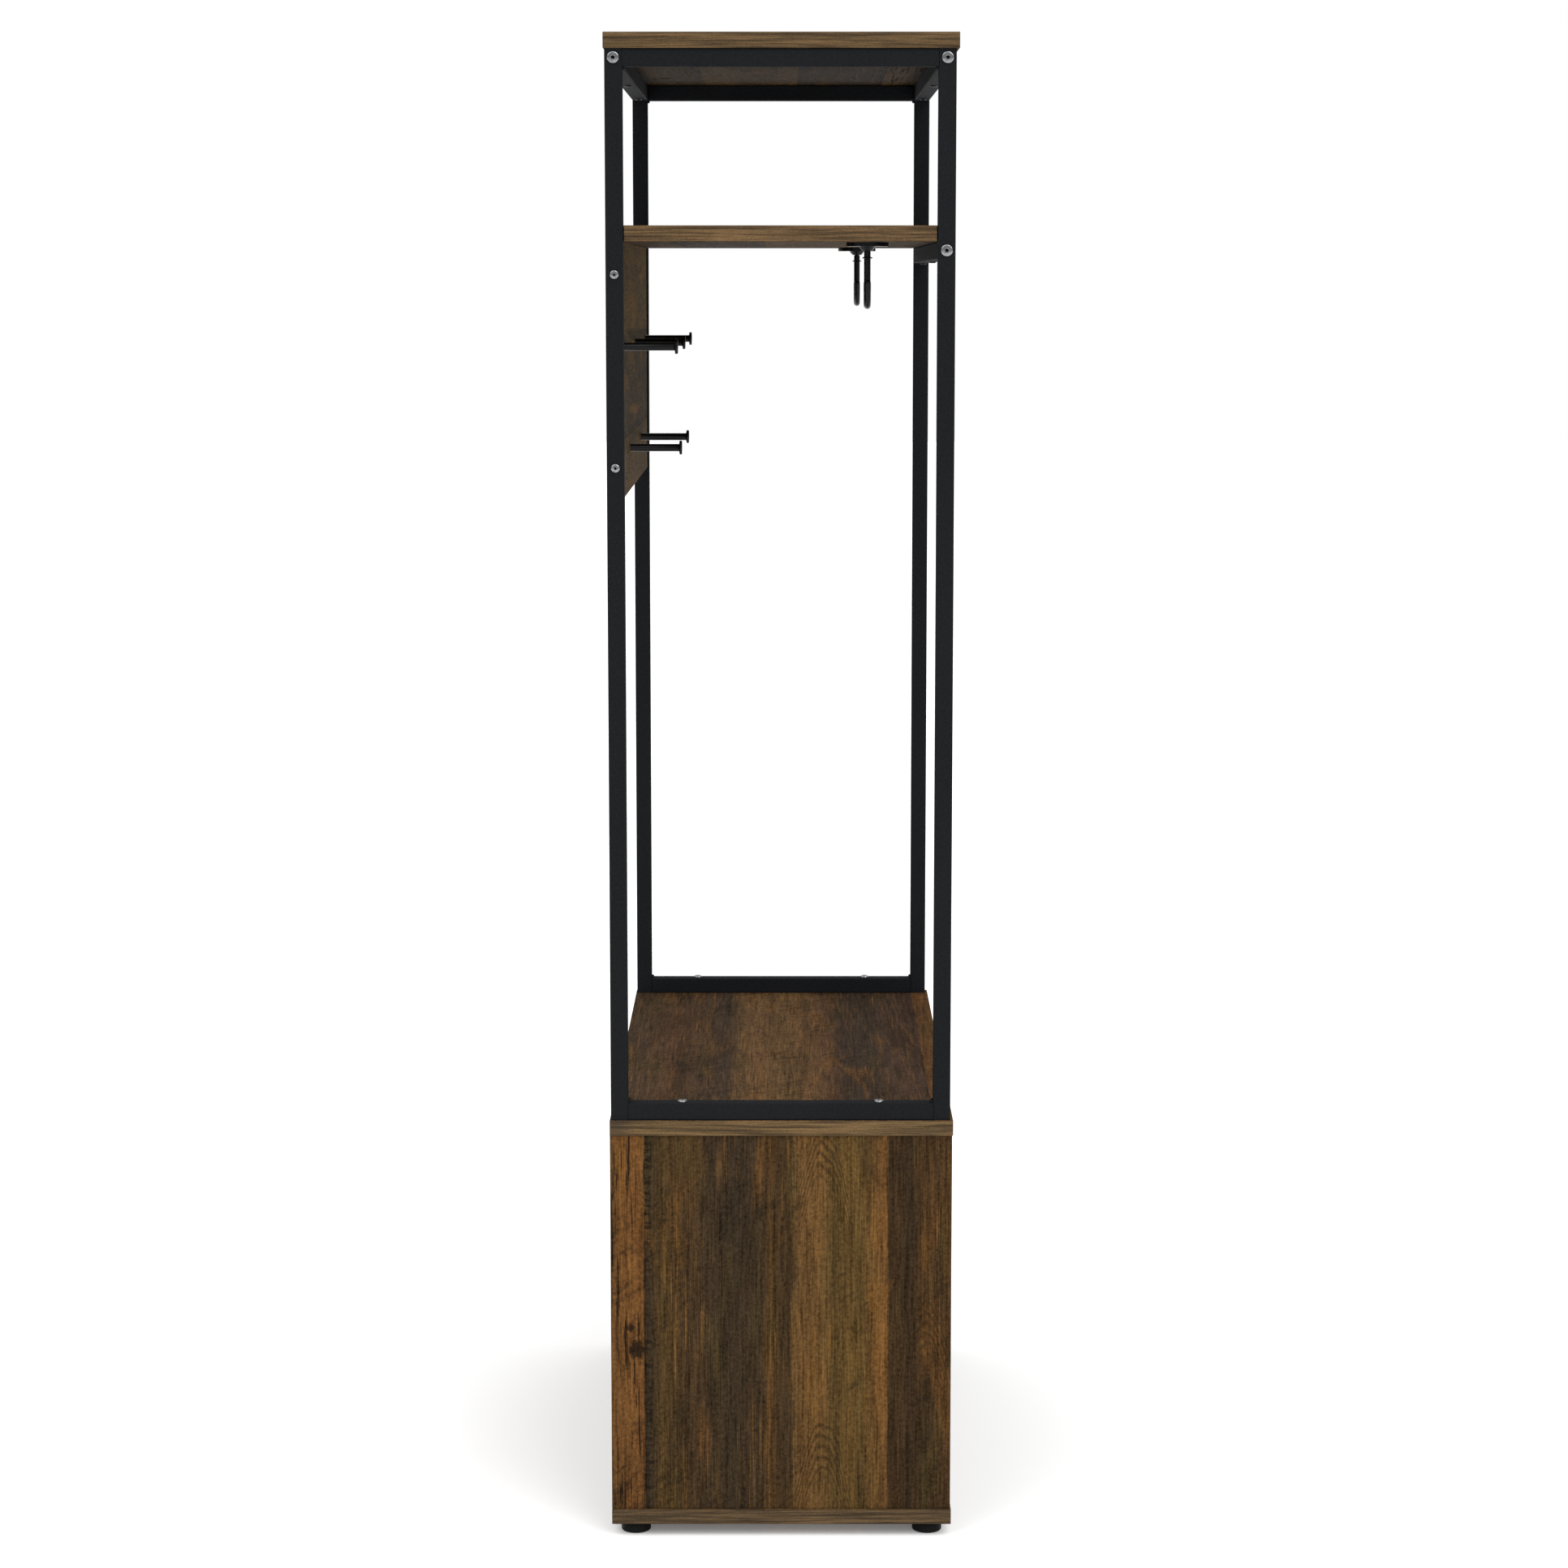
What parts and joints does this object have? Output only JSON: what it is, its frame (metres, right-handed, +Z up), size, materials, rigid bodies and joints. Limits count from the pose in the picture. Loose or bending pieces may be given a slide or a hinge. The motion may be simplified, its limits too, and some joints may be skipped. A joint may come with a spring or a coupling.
{
  "type": "hall tree with hooks",
  "caption": "Hall tree: shoe bench with open cubbies under a black tube frame that carries a hat shelf, a peg panel and swivel coat hooks.",
  "frame": {"origin": "on the floor, at the centre of the footprint", "axes": "+Z up, +X along the length towards the right end, front faces -Y"},
  "size_m": [0.8, 0.4, 1.746],
  "materials": {
    "rustic_laminate": "wood-grain laminate on board, satin, brown planks with darker clouds",
    "back_board_laminate": "thin hardboard with a dark wood print",
    "black_powder_coat": "fine-textured satin black powder coat",
    "black_cast_metal": "semi-gloss black enamel",
    "nickel_fastener": "bright zinc plate",
    "black_screw": "black oxide",
    "zinc_fitting": "raw die-cast zinc",
    "dowel_beech": "plain beech",
    "foot_plastic": "moulded black plastic"
  },
  "bodies": {
    "frame_and_cabinet": {"back_panel": "back_board_laminate", "base_board": "rustic_laminate", "bench_board": "rustic_laminate", "bottom_rail_screws": "nickel_fastener", "cabinet_dowels": "dowel_beech", "cam_bolts": "zinc_fitting", "cam_locks": "zinc_fitting", "centre_divider": "rustic_laminate", "foot_screws": "nickel_fastener", "frame_bolts": "nickel_fastener", "front_left_foot": "foot_plastic", "front_right_foot": "foot_plastic", "front_top_rail": "black_powder_coat", "hook_plate_screws": "black_screw", "left_bottom_rail": "black_powder_coat", "left_cubby_shelf": "rustic_laminate", "left_end_panel": "rustic_laminate", "left_frame_welds": "black_powder_coat", "left_front_post": "black_powder_coat", "left_hook_plate": "black_cast_metal", "left_rear_post": "black_powder_coat", "left_top_rail": "black_powder_coat", "peg_lower_left": "black_cast_metal", "peg_lower_right": "black_cast_metal", "peg_panel": "rustic_laminate", "peg_panel_bolts": "nickel_fastener", "peg_screws": "nickel_fastener", "peg_upper_left": "black_cast_metal", "peg_upper_middle": "black_cast_metal", "peg_upper_right": "black_cast_metal", "rear_left_foot": "foot_plastic", "rear_right_foot": "foot_plastic", "rear_top_rail": "black_powder_coat", "right_bottom_rail": "black_powder_coat", "right_cubby_shelf": "rustic_laminate", "right_end_panel": "rustic_laminate", "right_frame_welds": "black_powder_coat", "right_front_post": "black_powder_coat", "right_hook_plate": "black_cast_metal", "right_rear_post": "black_powder_coat", "right_top_rail": "black_powder_coat", "shelf_board": "rustic_laminate", "shelf_dowels": "dowel_beech", "shelf_pins": "nickel_fastener", "shelf_screws": "black_screw", "shelf_tube": "black_powder_coat", "top_board": "rustic_laminate", "top_board_screws": "black_screw", "tube_end_plugs": "black_powder_coat"},
    "left_hook": {"left_hook": "black_cast_metal"},
    "right_hook": {"right_hook": "black_cast_metal"}
  },
  "joints": [
    {"name": "left_hook_swivel", "type": "hinge", "parent": "frame_and_cabinet", "child": "left_hook", "pos_m": [-0.305, -0.099, 1.514], "axis": [0, 0, 1], "continuous": true},
    {"name": "right_hook_swivel", "type": "hinge", "parent": "frame_and_cabinet", "child": "right_hook", "pos_m": [0.305, -0.099, 1.514], "axis": [0, 0, 1], "continuous": true}
  ]
}
